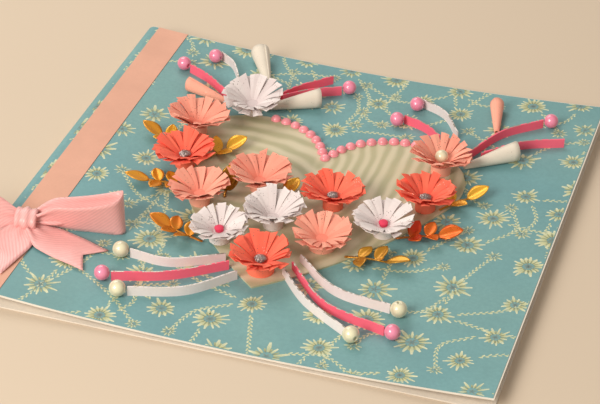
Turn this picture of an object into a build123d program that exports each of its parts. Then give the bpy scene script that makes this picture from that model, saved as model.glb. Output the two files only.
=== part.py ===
"""A square handmade greeting card, lying closed on its back leaf.  Millimetres, +Z up.

X runs from the fold to the fore edge and Y to the card's top.
The origin is the middle of the back leaf's underside.
The decorated cover bows like a wide, shallow trough, and everything glued to it follows the trough.
"""
from build123d import *
import os
from math import acos, asin, atan2, cos, degrees, radians, sin, sqrt

# Folded card
card_width = 152.0
card_height = 152.0
leaf_thickness = 0.35
leaf_gap = 0.75             # clear gap between the leaves where the cover comes lowest
bow_radius = 900.0          # of the cover's middle surface
bow_low_x = 6.0             # where the trough is lowest

# Printed paper panel and the plain band beside the fold
panel_thickness = 0.15
panel_margin = 0.4          # white card left bare along the three cut edges
panel_wrap_angle = 70.0     # how far the panel follows the soft fold round
band_width = 10.0
band_inset = 3.9            # from the fold's outer edge to the band
band_thickness = 0.2

# Heart, cut from marbled card, and the half beads along its two lobes
heart_x = 1.2
heart_lobe_radius = 22.4
heart_lobe_x = 21.5         # lobe centre, from the heart's own centre line
heart_lobe_y = 16.0
heart_lobe_end_angle = -25.0
heart_tip_y = -47.5
heart_thickness = 0.5
trim_bead_diameter = 3.3
trim_bead_gap = 0.15
trim_end_left = 92.0        # degrees on the left lobe, mirrored, where the row of beads stops
trim_end_right = 52.0       # and on the right lobe

# Fringed flowers: a rolled base with a cup of cut petals
flower_base_radius = 3.0
wide_base_radius = 3.9
cup_clearance = 0.3         # of a cup's floor over the strips that run under it
cup_floor_margin = 0.25     # the cup's floor is this much wider than the base, all round
petal_thickness = 0.3
petal_count = 14
petal_slit_width = 1.0      # at the rim, where a slit is widest
petal_slit_start = 1.2      # from the base's wall to the bottom of a slit
cup_bend_out = 0.42         # shares of the way out and up where a cup's wall bends
cup_bend_up = 0.6
cup_lip = 0.1               # how far the rim's inner edge stands inside its outer edge

# Beads
pink_pearl_diameter = 4.4
white_pearl_diameter = 4.7
pearl_hole_diameter = 1.0
roll_centre_radius = 1.3
silver_bead_radius = 1.7
pearl_centre_radius = 2.0
centre_lift = 0.6           # from a cup's underside to the bottom of the bead in it
pearl_gap = 0.2             # between a pearl and the end of its strip

# Paper strips standing on edge, and rolled paper cones lying on their sides
strip_height = 3.0
strip_thickness = 0.45
cone_wall = 0.45
cone_tip_radius = 0.7
large_cone_radius = 3.1
large_cone_length = 17.5
small_cone_radius = 2.3
small_cone_length = 15.0

# Leaf sprigs, die cut from one sheet of foil card
foil_thickness = 0.25
sprig_stem_length = 12.5
sprig_stem_width = 0.8
sprig_end_leaf = (7.2, 4.4)     # length and width
sprig_side_leaf = (5.2, 3.6)
sprig_leaf_angle = 52.0
sprig_leaf_overlap = 0.6        # of the end leaf on its stem
sprig_pair_margin = 1.5         # a pair of leaves this near the stem's end is left out
leaf_widest = 0.52              # share of a leaf's length from its foot
sprig_first_pair = 5.0          # from the stem's root
sprig_second_pair = 9.6

# Satin ribbon, tied in a bow
ribbon_width = 12.0
ribbon_thickness = 0.4
knot_x = -card_width / 2 + band_inset + band_width / 2
knot_y = -44.0
knot_size = (6.4, 7.6, 5.0)
knot_rounding = 1.8
loop_length = 27.0
loop_depth = 5.0            # across the open end of a loop
loop_wall = 0.7
loop_rise = 6.4             # of the middle of a loop's open end above the panel
loop_lean = 42.0            # of the ribbon's width above level
loop_headings = (22, 201)
loop_root = (3.8, 2.6)      # section where a loop leaves the knot
loop_root_rounding = 0.8
loop_end_rounding = 1.2
throat_start = 9.0          # from the knot's middle to the narrow end of a loop's opening
throat_start_radius = 0.5

# Corners of the two tails, from the knot's middle
right_tail = [(0.0, -2.5), (4.0, 1.5), (25.5, -1.4), (20.7, -7.0), (22.3, -13.8), (1.0, -4.0)]
left_tail = [(-3.0, 0.0), (2.0, -1.0), (3.5, -7.0), (2.7, -24.0), (-2.5, -18.0), (-8.5, -20.6), (-4.4, -6.0)]

glue_film = 0.05            # between anything rounded and what it is stuck to

# Worked out from the sizes above
cover_top_radius = bow_radius - leaf_thickness / 2
panel_top_radius = cover_top_radius - panel_thickness
bow_axis_z = 1.5 * leaf_thickness + leaf_gap + bow_radius
fold_reach = bow_low_x + card_width / 2 - leaf_thickness / 2
fold_rise = bow_axis_z - leaf_thickness / 2
fold_sum = fold_reach + fold_rise + bow_radius
fold_radius = fold_sum - sqrt(fold_sum**2 - fold_reach**2 - fold_rise**2 + bow_radius**2)
fold_x = -card_width / 2 + leaf_thickness / 2 + fold_radius
fold_z = leaf_thickness / 2 + fold_radius
fold_tangent = -degrees(asin((bow_low_x - fold_x) / (bow_radius + fold_radius)))
fore_edge = card_width / 2
flower_base_height = strip_height - heart_thickness + cup_clearance
across = Vector(0, 1, 0)

# Flowers: name, x, y, rim radius, rim height above the base, tilt, the way it tilts, base radius
flowers = [
    ("white_flower_1", -27.8, 39.2, 9.4, 4.6, 8, 270, flower_base_radius),
    ("white_flower_2", -14.6, -29.2, 8.6, 3.6, 5, 215, flower_base_radius),
    ("white_flower_3", -2.6, -17.2, 9.1, 5.2, 0, 0, flower_base_radius),
    ("white_flower_4", 28.6, -11.4, 9.0, 4.0, 4, 290, flower_base_radius),
    ("salmon_flower_1", -39.5, 21.6, 9.8, 4.8, 5, 100, flower_base_radius),
    ("salmon_flower_2", -26.2, -13.4, 9.0, 4.2, 6, 190, flower_base_radius),
    ("salmon_flower_3", -12.0, -0.6, 9.4, 4.8, 0, 0, flower_base_radius),
    ("salmon_flower_4", 13.8, -22.8, 8.8, 3.6, 5, 300, wide_base_radius),
    ("salmon_flower_5", 36.0, 25.2, 9.5, 4.8, 8, 60, flower_base_radius),
    ("coral_flower_1", -36.8, 3.1, 9.4, 4.2, 5, 180, flower_base_radius),
    ("coral_flower_2", 1.0, -39.2, 8.8, 4.8, 4, 270, wide_base_radius),
    ("coral_flower_3", 10.8, -2.4, 9.4, 4.6, 4, 90, flower_base_radius),
    ("coral_flower_4", 36.6, 4.7, 8.9, 4.8, 5, 30, flower_base_radius),
]

# What sits in the middle of a flower: flower, radius of the bead or roll
flower_centres = [
    ("white_flower_2", roll_centre_radius),
    ("white_flower_4", roll_centre_radius),
    ("coral_flower_1", silver_bead_radius),
    ("coral_flower_2", silver_bead_radius),
    ("coral_flower_3", silver_bead_radius),
    ("coral_flower_4", silver_bead_radius),
    ("salmon_flower_5", pearl_centre_radius),
]

# Paper strips: name, then the start, the middle and the end of its curve
strips = [
    ("pink_strip_1", (-53.5, 54.2), (-45.5, 50.2), (-37.8, 43.8)),
    ("pink_strip_2", (-24.2, 44.6), (-18.2, 55.5), (-9.5, 65.5)),
    ("pink_strip_3", (-20.8, 48.4), (-13.6, 55.0), (-5.0, 59.8)),
    ("pink_strip_4", (18.2, 50.0), (25.4, 46.9), (31.4, 41.6)),
    ("pink_strip_5", (59.6, 59.2), (49.2, 50.0), (42.0, 35.2)),
    ("pink_strip_6", (68.2, 49.4), (56.0, 45.0), (45.8, 35.6)),
    ("pink_strip_7", (-36.0, -57.6), (-21.3, -51.4), (-7.6, -41.0)),
    ("pink_strip_8", (9.2, -35.6), (23.0, -50.4), (41.6, -57.0)),
    ("white_strip_1", (-47.0, 65.8), (-41.4, 61.4), (-36.0, 51.4)),
    ("white_strip_2", (21.2, 61.0), (29.6, 56.0), (36.2, 45.2)),
    ("white_strip_3", (-35.0, -45.6), (-23.1, -45.6), (-9.6, -38.0)),
    ("white_strip_4", (-29.4, -62.4), (-14.8, -56.4), (-4.0, -44.6)),
    ("white_strip_5", (10.2, -31.6), (23.6, -43.2), (40.4, -46.9)),
    ("white_strip_6", (7.4, -38.8), (17.0, -50.0), (31.6, -60.4)),
]

# Pearl beads: name, strip and which end of it, heading of the bead from there, diameter,
# and whether the hole stands upright or lies along a heading
pearls = [
    ("pink_pearl_1", "pink_strip_1", "start", 162, pink_pearl_diameter, 330),
    ("pink_pearl_2", "white_strip_1", "start", 237, pink_pearl_diameter, 340),
    ("pink_pearl_3", "pink_strip_3", "end", 39, pink_pearl_diameter, 40),
    ("pink_pearl_4", "white_strip_2", "start", 240, pink_pearl_diameter, 350),
    ("pink_pearl_5", "pink_strip_4", "start", 225, pink_pearl_diameter, 340),
    ("pink_pearl_6", "pink_strip_5", "start", 18, pink_pearl_diameter, 20),
    ("pink_pearl_7", "pink_strip_7", "start", 193, pink_pearl_diameter, 20),
    ("pink_pearl_8", "pink_strip_8", "end", 343, pink_pearl_diameter, 345),
    ("white_pearl_1", "white_strip_3", "start", 192, white_pearl_diameter, 0),
    ("white_pearl_2", "white_strip_4", "start", 200, white_pearl_diameter, 15),
    ("white_pearl_3", "white_strip_6", "end", 325, white_pearl_diameter, 320),
    ("white_pearl_4", "white_strip_5", "end", 346, white_pearl_diameter, "upright"),
]

# Rolled cones: name, x and y of the middle of the wide end, heading of the tip, radius, length
cones = [
    ("white_cone_1", -36.0, 71.0, 298, large_cone_radius, large_cone_length),
    ("white_cone_2", -9.0, 51.0, 208, large_cone_radius, large_cone_length),
    ("white_cone_3", 56.4, 39.4, 214, large_cone_radius, large_cone_length),
    ("salmon_cone_1", -51.0, 44.0, 349, small_cone_radius, small_cone_length),
    ("salmon_cone_2", 43.6, 66.2, 283, small_cone_radius, small_cone_length),
]

# Leaf sprigs: name, x and y of the stem's root, heading of the stem, stem length
sprigs = [
    ("leaf_sprig_1", -41.0, 11.8, 163, 8.0),
    ("leaf_sprig_2", -31.6, -6.6, 194, sprig_stem_length),
    ("leaf_sprig_3", -32.0, 8.4, 52, 8.0),
    ("leaf_sprig_4", -5.6, -10.4, 76, 9.0),
    ("leaf_sprig_5", -20.2, -8.6, 96, 3.5),
    ("leaf_sprig_6", -18.6, -32.0, 168, 11.0),
    ("leaf_sprig_7", 21.4, -25.6, 358, sprig_stem_length),
    ("leaf_sprig_8", 32.6, -12.6, 17, sprig_stem_length),
    ("leaf_sprig_9", 40.8, 5.0, 44, 10.0),
]


def bow_point(radius, x):
    """Point above x on the cylinder of this radius about the bow's axis."""
    return Vector(x, 0, bow_axis_z - sqrt(radius**2 - (x - bow_low_x) ** 2))


def fold_point(radius, angle):
    """Point about the fold's centre, its angle counted from straight up towards the fold's side."""
    turn = radians(angle)
    return Vector(fold_x - radius * sin(turn), 0, fold_z + radius * cos(turn))


def bow_arc(radius, start, end):
    """Arc of the bow between two points that lie on it."""
    return ThreePointArc(start, bow_point(radius, (start.X + end.X) / 2), end)


def fold_arc(radius, start_angle, end_angle):
    middle = fold_point(radius, (start_angle + end_angle) / 2)
    return ThreePointArc(fold_point(radius, start_angle), middle, fold_point(radius, end_angle))


def run_across(edges, length):
    """Solid with this closed section, running along Y about the middle of the card."""
    return extrude(Face(Wire(edges)), amount=length / 2, dir=across, both=True)


def on_cover(x, y, height=0.0, turn=0.0):
    """Frame on the panel's face at x and y, raised along the face's normal and turned about it."""
    lean = asin((x - bow_low_x) / panel_top_radius)
    radius = panel_top_radius - height
    spot = (bow_low_x + radius * sin(lean), y, bow_axis_z - radius * cos(lean))
    return Location(spot, (0, -degrees(lean), 0)) * Location((0, 0, 0), (0, 0, turn))


def cover_layer(bottom, top, left, right, length):
    """Slab between two heights above the panel's face, bowed with it."""
    low = panel_top_radius - bottom
    high = panel_top_radius - top
    edges = [
        bow_arc(low, bow_point(low, left), bow_point(low, right)),
        Line(bow_point(low, right), bow_point(high, right)),
        bow_arc(high, bow_point(high, right), bow_point(high, left)),
        Line(bow_point(high, left), bow_point(low, left)),
    ]
    return run_across(edges, length)


def sheet_on_cover(outline, bottom, top):
    """Flat outline cut out of a layer that follows the cover."""
    box = outline.bounding_box()
    reach = 2 * max(abs(box.min.Y), abs(box.max.Y)) + 2
    layer = cover_layer(bottom, top, box.min.X - 1, box.max.X + 1, reach)
    prism = extrude(outline, amount=card_width / 4)
    return prism & layer


def single(shape):
    """The one solid of a result."""
    return shape.solids().sort_by(lambda solid: solid.volume)[-1]


def folded_card():
    outer = fold_radius + leaf_thickness / 2
    inner = fold_radius - leaf_thickness / 2
    under_radius = bow_radius + leaf_thickness / 2
    cover_top_end = bow_point(cover_top_radius, fore_edge)
    cover_under_end = bow_point(under_radius, fore_edge)
    back_end = Vector(fore_edge, 0, 0)
    back_top_end = Vector(fore_edge, 0, leaf_thickness)
    edges = [
        Line(back_end, fold_point(outer, 180)),
        fold_arc(outer, 180, fold_tangent),
        bow_arc(cover_top_radius, fold_point(outer, fold_tangent), cover_top_end),
        Line(cover_top_end, cover_under_end),
        bow_arc(under_radius, cover_under_end, fold_point(inner, fold_tangent)),
        fold_arc(inner, fold_tangent, 180),
        Line(fold_point(inner, 180), back_top_end),
        Line(back_top_end, back_end),
    ]
    return run_across(edges, card_height)


def printed_panel():
    under = fold_radius + leaf_thickness / 2
    over = under + panel_thickness
    right = fore_edge - panel_margin
    edges = [
        fold_arc(under, panel_wrap_angle, fold_tangent),
        bow_arc(cover_top_radius, fold_point(under, fold_tangent), bow_point(cover_top_radius, right)),
        Line(bow_point(cover_top_radius, right), bow_point(panel_top_radius, right)),
        bow_arc(panel_top_radius, bow_point(panel_top_radius, right), fold_point(over, fold_tangent)),
        fold_arc(over, fold_tangent, panel_wrap_angle),
        Line(fold_point(over, panel_wrap_angle), fold_point(under, panel_wrap_angle)),
    ]
    return run_across(edges, card_height - 2 * panel_margin)


def spine_band():
    left = -card_width / 2 + band_inset
    return cover_layer(0, band_thickness, left, left + band_width, card_height - 2 * panel_margin)


def lobe_point(angle, radius=heart_lobe_radius):
    """Point on the right lobe's circle, from the heart's own centre line."""
    turn = radians(angle)
    return Vector(heart_lobe_x + radius * cos(turn), heart_lobe_y + radius * sin(turn))


def heart_notch_angle():
    return degrees(atan2(sqrt(heart_lobe_radius**2 - heart_lobe_x**2), -heart_lobe_x))


def heart_outline():
    notch = heart_notch_angle()
    end_turn = radians(heart_lobe_end_angle)
    lobe = ThreePointArc(lobe_point(notch), lobe_point((notch + heart_lobe_end_angle) / 2),
                         lobe_point(heart_lobe_end_angle))
    down = Vector(sin(end_turn), -cos(end_turn))
    side = TangentArc(lobe_point(heart_lobe_end_angle), Vector(0, heart_tip_y), tangent=down)
    spine = Line(Vector(0, heart_tip_y), lobe_point(notch))
    half = make_face([lobe, side, spine])
    return Pos(heart_x, 0) * (half + mirror(half, Plane.YZ))


def heart():
    return single(sheet_on_cover(heart_outline(), 0, heart_thickness))


def half_bead():
    radius = trim_bead_diameter / 2
    ball = Sphere(radius)
    block = Box(4 * radius, 4 * radius, 2 * radius, align=(Align.CENTER, Align.CENTER, Align.MIN))
    return ball & block


def heart_bead_trim():
    """Half beads along the heart's rim, from one in the notch up over each lobe."""
    ring = heart_lobe_radius - trim_bead_diameter / 4
    pitch = trim_bead_diameter + trim_bead_gap
    step = degrees(pitch / ring)
    first = degrees(acos((pitch / 2 - heart_lobe_x) / ring))
    bead = half_bead()
    height = heart_thickness + glue_film
    beads = [on_cover(heart_x, lobe_point(first, ring).Y - pitch * sqrt(3) / 2, height) * bead]
    for side, stop in ((-1, trim_end_left), (1, trim_end_right)):
        angle = first
        while angle > stop:
            spot = lobe_point(angle, ring)
            beads.append(on_cover(heart_x + side * spot.X, spot.Y, height) * bead)
            angle -= step
    return beads


def flower_cup(base_radius, rim_radius, rim_height):
    base = base_radius + cup_floor_margin
    run = rim_radius - base
    floor_edge = Vector(base, 0, 0)
    rim_out = Vector(rim_radius, 0, rim_height)
    rim_in = Vector(rim_radius - cup_lip, 0, rim_height + petal_thickness)
    bend = Vector(base + cup_bend_out * run, 0, cup_bend_up * rim_height)
    floor_top = Vector(base - petal_thickness, 0, petal_thickness)
    edges = [
        Line((0, 0, 0), floor_edge),
        ThreePointArc(floor_edge, bend, rim_out),
        Line(rim_out, rim_in),
        ThreePointArc(rim_in, bend + Vector(-petal_thickness, 0, petal_thickness), floor_top),
        Line(floor_top, (0, 0, petal_thickness)),
        Line((0, 0, petal_thickness), (0, 0, 0)),
    ]
    return revolve(Face(Wire(edges)), Axis.Z)


def petal_slits(base_radius, rim_radius, rim_height):
    start = base_radius + petal_slit_start
    end = rim_radius + 1
    half_width = petal_slit_width / 2
    wedge = make_face(Polyline((start, 0), (end, -half_width), (end, half_width), close=True))
    slit = extrude(wedge, amount=2 * rim_height + flower_base_height)
    return [Rot(0, 0, number * 360 / petal_count) * slit for number in range(petal_count)]


def flower_cup_frame(tilt, tilt_way):
    """Frame of a cup on its base: tilted the given way about the middle of its floor."""
    way = Location((0, 0, 0), (0, 0, tilt_way))
    back = Location((0, 0, 0), (0, 0, -tilt_way))
    return Location((0, 0, flower_base_height)) * way * Location((0, 0, 0), (0, tilt, 0)) * back


def flower(x, y, rim_radius, rim_height, tilt, tilt_way, base_radius):
    """Rolled base, standing on the heart's level, and the cup of petals on it."""
    base = Cylinder(base_radius, flower_base_height + petal_thickness,
                    align=(Align.CENTER, Align.CENTER, Align.MIN))
    slits = petal_slits(base_radius, rim_radius, rim_height)
    cup = flower_cup(base_radius, rim_radius, rim_height) - slits
    whole = base + flower_cup_frame(tilt, tilt_way) * cup
    return single(on_cover(x, y, heart_thickness + glue_film) * whole)


def flower_centre_beads():
    """Beads and rolls resting on the floors of some cups."""
    beads = []
    places = {name: place for name, *place in flowers}
    for name, radius in flower_centres:
        x, y, _, _, tilt, tilt_way, _ = places[name]
        floor = flower_cup_frame(tilt, tilt_way)
        lift = Location((0, 0, centre_lift + radius))
        ball = Sphere(radius)
        beads.append(on_cover(x, y, heart_thickness + glue_film) * floor * lift * ball)
    return beads


def pearl(strip_name, strip_end, heading, diameter, hole_heading):
    """Drilled bead glued to the panel beside the end of its strip."""
    points = {name: (start, end) for name, start, _, end in strips}[strip_name]
    foot_x, foot_y = points[0 if strip_end == "start" else 1]
    reach = diameter / 2 + strip_thickness / 2 + pearl_gap
    x = foot_x + reach * cos(radians(heading))
    y = foot_y + reach * sin(radians(heading))
    hole = Cylinder(pearl_hole_diameter / 2, 2 * diameter)
    if hole_heading != "upright":
        hole = Rot(0, 0, hole_heading) * Rot(0, 90, 0) * hole
    bead = Sphere(diameter / 2) - hole
    return single(on_cover(x, y, diameter / 2 + glue_film) * bead)


def strip(start, middle, end, heart_solid):
    """Curved strip standing on its edge, notched where it runs on to the heart."""
    outline = trace(ThreePointArc(start, middle, end), strip_thickness)
    wall = sheet_on_cover(outline, 0, strip_height)
    return single(wall - heart_solid)


def cone(x, y, heading, radius, length, heart_solid):
    """Hollow rolled cone lying on its side, its wide end open, notched where it meets the heart."""
    turn = radians(heading)
    middle_x = x + length / 2 * cos(turn)
    middle_y = y + length / 2 * sin(turn)
    lean = atan2(radius - cone_tip_radius, length)
    solid = Cone(radius, cone_tip_radius, length, align=(Align.CENTER, Align.CENTER, Align.MIN))
    bore_tip = cone_tip_radius - cone_wall
    bore = Cone(radius - cone_wall, bore_tip, length, align=(Align.CENTER, Align.CENTER, Align.MIN))
    roll = Rot(0, 90, 0) * (solid - bore)
    rest = Location((-length / 2, 0, radius * cos(lean) + glue_film), (0, degrees(lean), 0))
    return single(on_cover(middle_x, middle_y, 0, heading) * rest * roll - heart_solid)


def leaf(length, width):
    """Pointed leaf with its foot at the origin, along X."""
    half = width / 2
    edges = [
        ThreePointArc((0, 0), (length * leaf_widest, half), (length, 0)),
        ThreePointArc((length, 0), (length * leaf_widest, -half), (0, 0)),
    ]
    return make_face(edges)


def sprig_outline(stem_length):
    outline = Pos(stem_length / 2, 0) * Rectangle(stem_length, sprig_stem_width)
    outline += Pos(stem_length - sprig_leaf_overlap, 0) * leaf(*sprig_end_leaf)
    for place in (sprig_first_pair, sprig_second_pair):
        if place < stem_length - sprig_pair_margin:
            for side in (-1, 1):
                outline += Pos(place, 0) * Rot(0, 0, side * sprig_leaf_angle) * leaf(*sprig_side_leaf)
    return outline


def sprig(x, y, heading, stem_length):
    outline = Pos(x, y) * Rot(0, 0, heading) * sprig_outline(stem_length)
    bottom = heart_thickness + glue_film
    return single(sheet_on_cover(outline, bottom, bottom + foil_thickness))


def bow_loop(heading):
    """One loop: pinched at the knot, opening out to the ribbon's full width."""
    knot_frame = on_cover(knot_x, knot_y, band_thickness + knot_size[2] / 2)
    way = Vector(cos(radians(heading)), sin(radians(heading)), 0)
    up_ribbon = Vector(0, cos(radians(loop_lean)), sin(radians(loop_lean)))
    up_ribbon = (up_ribbon - way * up_ribbon.dot(way)).normalized()
    start = knot_frame.position
    end_x = min(max(start.X + way.X * loop_length, -card_width / 2), fore_edge)
    end = start + way * loop_length
    end = Vector(end.X, end.Y, bow_point(panel_top_radius, end_x).Z + loop_rise)
    along = (end - start).normalized()
    near = Plane(origin=start, x_dir=up_ribbon, z_dir=along)
    far = Plane(origin=end, x_dir=up_ribbon, z_dir=along)
    body = loft([near * RectangleRounded(*loop_root, loop_root_rounding),
                 far * RectangleRounded(ribbon_width, loop_depth, loop_end_rounding)])
    opening = Plane(origin=start, x_dir=along, z_dir=up_ribbon)
    throat = loop_depth / 2 - loop_wall
    narrow = Pos(throat_start, 0) * Circle(throat_start_radius)
    wide = Pos(loop_length - throat - loop_wall, 0) * Circle(throat)
    teardrop = make_hull([*narrow.edges(), *wide.edges()])
    return body - extrude(opening * teardrop, amount=ribbon_width, both=True)


def ribbon_tail(corners):
    """Tail lying flat on the cover, coming out under the knot and ending in a swallow tail."""
    outline = Pos(knot_x, knot_y) * make_face(Polyline(*corners, close=True))
    bottom = band_thickness + glue_film
    return sheet_on_cover(outline, bottom, bottom + ribbon_thickness)


def ribbon_bow():
    tails_middle = band_thickness + glue_film + ribbon_thickness / 2
    middle = on_cover(knot_x, knot_y, tails_middle + knot_size[2] / 2)
    section = RectangleRounded(knot_size[0], knot_size[2], knot_rounding)
    knot = middle * extrude(Plane.XZ * section, amount=knot_size[1] / 2, both=True)
    loops = [bow_loop(heading) for heading in loop_headings]
    return single(knot + loops + ribbon_tail(right_tail) + ribbon_tail(left_tail))


def write(name, shapes):
    solids = shapes if isinstance(shapes, list) else [shapes]
    solids = [solid for shape in solids for solid in shape.solids()]
    export_step(solids[0] if len(solids) == 1 else Compound(children=solids), f"parts/{name}.step")


def main():
    os.makedirs("parts", exist_ok=True)
    heart_solid = heart()
    write("folded_card", folded_card())
    write("printed_panel", printed_panel())
    write("spine_band", spine_band())
    write("ribbon_bow", ribbon_bow())
    write("heart", heart_solid)
    write("heart_bead_trim", heart_bead_trim())
    write("flower_centre_beads", flower_centre_beads())
    for name, *place in flowers:
        write(name, flower(*place))
    for name, *place in pearls:
        write(name, pearl(*place))
    for name, *points in strips:
        write(name, strip(*points, heart_solid))
    for name, *place in cones:
        write(name, cone(*place, heart_solid))
    for name, *place in sprigs:
        write(name, sprig(*place))


main()
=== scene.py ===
"""Square handmade greeting card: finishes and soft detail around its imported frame."""
import math
import random

import bmesh
import bpy
from bpy.props import FloatProperty, FloatVectorProperty, IntProperty, PointerProperty
from mathutils import Matrix, Vector


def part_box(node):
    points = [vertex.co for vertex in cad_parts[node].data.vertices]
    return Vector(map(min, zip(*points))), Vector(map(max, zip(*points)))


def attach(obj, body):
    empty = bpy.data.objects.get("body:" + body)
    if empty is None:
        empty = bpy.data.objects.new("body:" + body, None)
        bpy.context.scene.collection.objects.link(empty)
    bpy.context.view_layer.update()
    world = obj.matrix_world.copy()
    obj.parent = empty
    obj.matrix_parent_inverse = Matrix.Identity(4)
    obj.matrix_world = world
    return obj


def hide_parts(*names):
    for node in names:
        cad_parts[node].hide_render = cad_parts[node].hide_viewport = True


bl_info = {
    "name": "Handmade greeting card",
    "version": (1, 0, 0),
    "blender": (4, 5, 0),
    "location": "View3D > Sidebar > Card",
    "description": "Finishes and soft detail for a square card with paper flowers and a ribbon bow",
    "category": "Object",
}

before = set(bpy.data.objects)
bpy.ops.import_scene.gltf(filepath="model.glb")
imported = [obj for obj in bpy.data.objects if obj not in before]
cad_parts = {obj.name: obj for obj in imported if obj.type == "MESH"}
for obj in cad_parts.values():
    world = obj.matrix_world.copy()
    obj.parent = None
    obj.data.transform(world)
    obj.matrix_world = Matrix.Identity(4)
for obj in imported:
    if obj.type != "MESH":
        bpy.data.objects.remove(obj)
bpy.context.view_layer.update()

MM = 0.001
TAU = 2 * math.pi


def paint(red, green, blue):
    """Scene-linear colour of a paint given in the usual 0 to 255 steps."""
    steps = (red / 255, green / 255, blue / 255)
    return tuple(s / 12.92 if s <= 0.04045 else ((s + 0.055) / 1.055) ** 2.4 for s in steps)


# Flowers: name, place, rim radius, rim height over the base, tilt, the way it tilts, base radius
FLOWERS = [
    ("white_flower_1", -27.8, 39.2, 9.4, 4.6, 8, 270, 3.0),
    ("white_flower_2", -14.6, -29.2, 8.6, 3.6, 5, 215, 3.0),
    ("white_flower_3", -2.6, -17.2, 9.1, 5.2, 0, 0, 3.0),
    ("white_flower_4", 28.6, -11.4, 9.0, 4.0, 4, 290, 3.0),
    ("salmon_flower_1", -39.5, 21.6, 9.8, 4.8, 5, 100, 3.0),
    ("salmon_flower_2", -26.2, -13.4, 9.0, 4.2, 6, 190, 3.0),
    ("salmon_flower_3", -12.0, -0.6, 9.4, 4.8, 0, 0, 3.0),
    ("salmon_flower_4", 13.8, -22.8, 8.8, 3.6, 5, 300, 3.9),
    ("salmon_flower_5", 36.0, 25.2, 9.5, 4.8, 8, 60, 3.0),
    ("coral_flower_1", -36.8, 3.1, 9.4, 4.2, 5, 180, 3.0),
    ("coral_flower_2", 1.0, -39.2, 8.8, 4.8, 4, 270, 3.9),
    ("coral_flower_3", 10.8, -2.4, 9.4, 4.6, 4, 90, 3.0),
    ("coral_flower_4", 36.6, 4.7, 8.9, 4.8, 5, 30, 3.0),
]

# What is glued in the middle of a flower: flower, kind, radius
CENTRES = [
    ("white_flower_2", "roll", 1.3),
    ("white_flower_4", "roll", 1.3),
    ("coral_flower_1", "silver", 1.7),
    ("coral_flower_2", "silver", 1.7),
    ("coral_flower_3", "silver", 1.7),
    ("coral_flower_4", "silver", 1.7),
    ("salmon_flower_5", "pearl", 2.0),
]

# Pearl beads: name, and the heading of the hole or None where it stands upright
PEARLS = [
    ("pink_pearl_1", 330), ("pink_pearl_2", 340), ("pink_pearl_3", 40), ("pink_pearl_4", 350),
    ("pink_pearl_5", 340), ("pink_pearl_6", 20), ("pink_pearl_7", 20), ("pink_pearl_8", 345),
    ("white_pearl_1", 0), ("white_pearl_2", 15), ("white_pearl_3", 320), ("white_pearl_4", None),
]

# Paper strips on edge: name, then the start, the middle and the end of the curve
STRIPS = [
    ("pink_strip_1", (-53.5, 54.2), (-45.5, 50.2), (-37.8, 43.8)),
    ("pink_strip_2", (-24.2, 44.6), (-18.2, 55.5), (-9.5, 65.5)),
    ("pink_strip_3", (-20.8, 48.4), (-13.6, 55.0), (-5.0, 59.8)),
    ("pink_strip_4", (18.2, 50.0), (25.4, 46.9), (31.4, 41.6)),
    ("pink_strip_5", (59.6, 59.2), (49.2, 50.0), (42.0, 35.2)),
    ("pink_strip_6", (68.2, 49.4), (56.0, 45.0), (45.8, 35.6)),
    ("pink_strip_7", (-36.0, -57.6), (-21.3, -51.4), (-7.6, -41.0)),
    ("pink_strip_8", (9.2, -35.6), (23.0, -50.4), (41.6, -57.0)),
    ("white_strip_1", (-47.0, 65.8), (-41.4, 61.4), (-36.0, 51.4)),
    ("white_strip_2", (21.2, 61.0), (29.6, 56.0), (36.2, 45.2)),
    ("white_strip_3", (-35.0, -45.6), (-23.1, -45.6), (-9.6, -38.0)),
    ("white_strip_4", (-29.4, -62.4), (-14.8, -56.4), (-4.0, -44.6)),
    ("white_strip_5", (10.2, -31.6), (23.6, -43.2), (40.4, -46.9)),
    ("white_strip_6", (7.4, -38.8), (17.0, -50.0), (31.6, -60.4)),
]

# Rolled cones: name, middle of the wide end, heading of the tip, radius, length
CONES = [
    ("white_cone_1", -36.0, 71.0, 298, 3.1, 17.5),
    ("white_cone_2", -9.0, 51.0, 208, 3.1, 17.5),
    ("white_cone_3", 56.4, 39.4, 214, 3.1, 17.5),
    ("salmon_cone_1", -51.0, 44.0, 349, 2.3, 15.0),
    ("salmon_cone_2", 43.6, 66.2, 283, 2.3, 15.0),
]

# Foil leaf sprigs: name, root, heading, stem length, how red the foil looks and how dull, 0 to 1
SPRIGS = [
    ("leaf_sprig_1", -41.0, 11.8, 163, 8.0, 0.1, 0.1),
    ("leaf_sprig_2", -31.6, -6.6, 194, 12.5, 0.2, 0.0),
    ("leaf_sprig_3", -32.0, 8.4, 52, 8.0, 0.0, 0.1),
    ("leaf_sprig_4", -5.6, -10.4, 76, 9.0, 0.0, 0.0),
    ("leaf_sprig_5", -20.2, -8.6, 96, 3.5, 0.0, 0.8),
    ("leaf_sprig_6", -18.6, -32.0, 168, 11.0, 0.5, 0.25),
    ("leaf_sprig_7", 21.4, -25.6, 358, 12.5, 0.1, 0.55),
    ("leaf_sprig_8", 32.6, -12.6, 17, 12.5, 0.95, 0.0),
    ("leaf_sprig_9", 40.8, 5.0, 44, 10.0, 0.0, 0.0),
]


def measure(name, description, default, precision):
    return FloatProperty(name=name, description=description, default=default, unit="LENGTH",
                         precision=precision)


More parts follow.
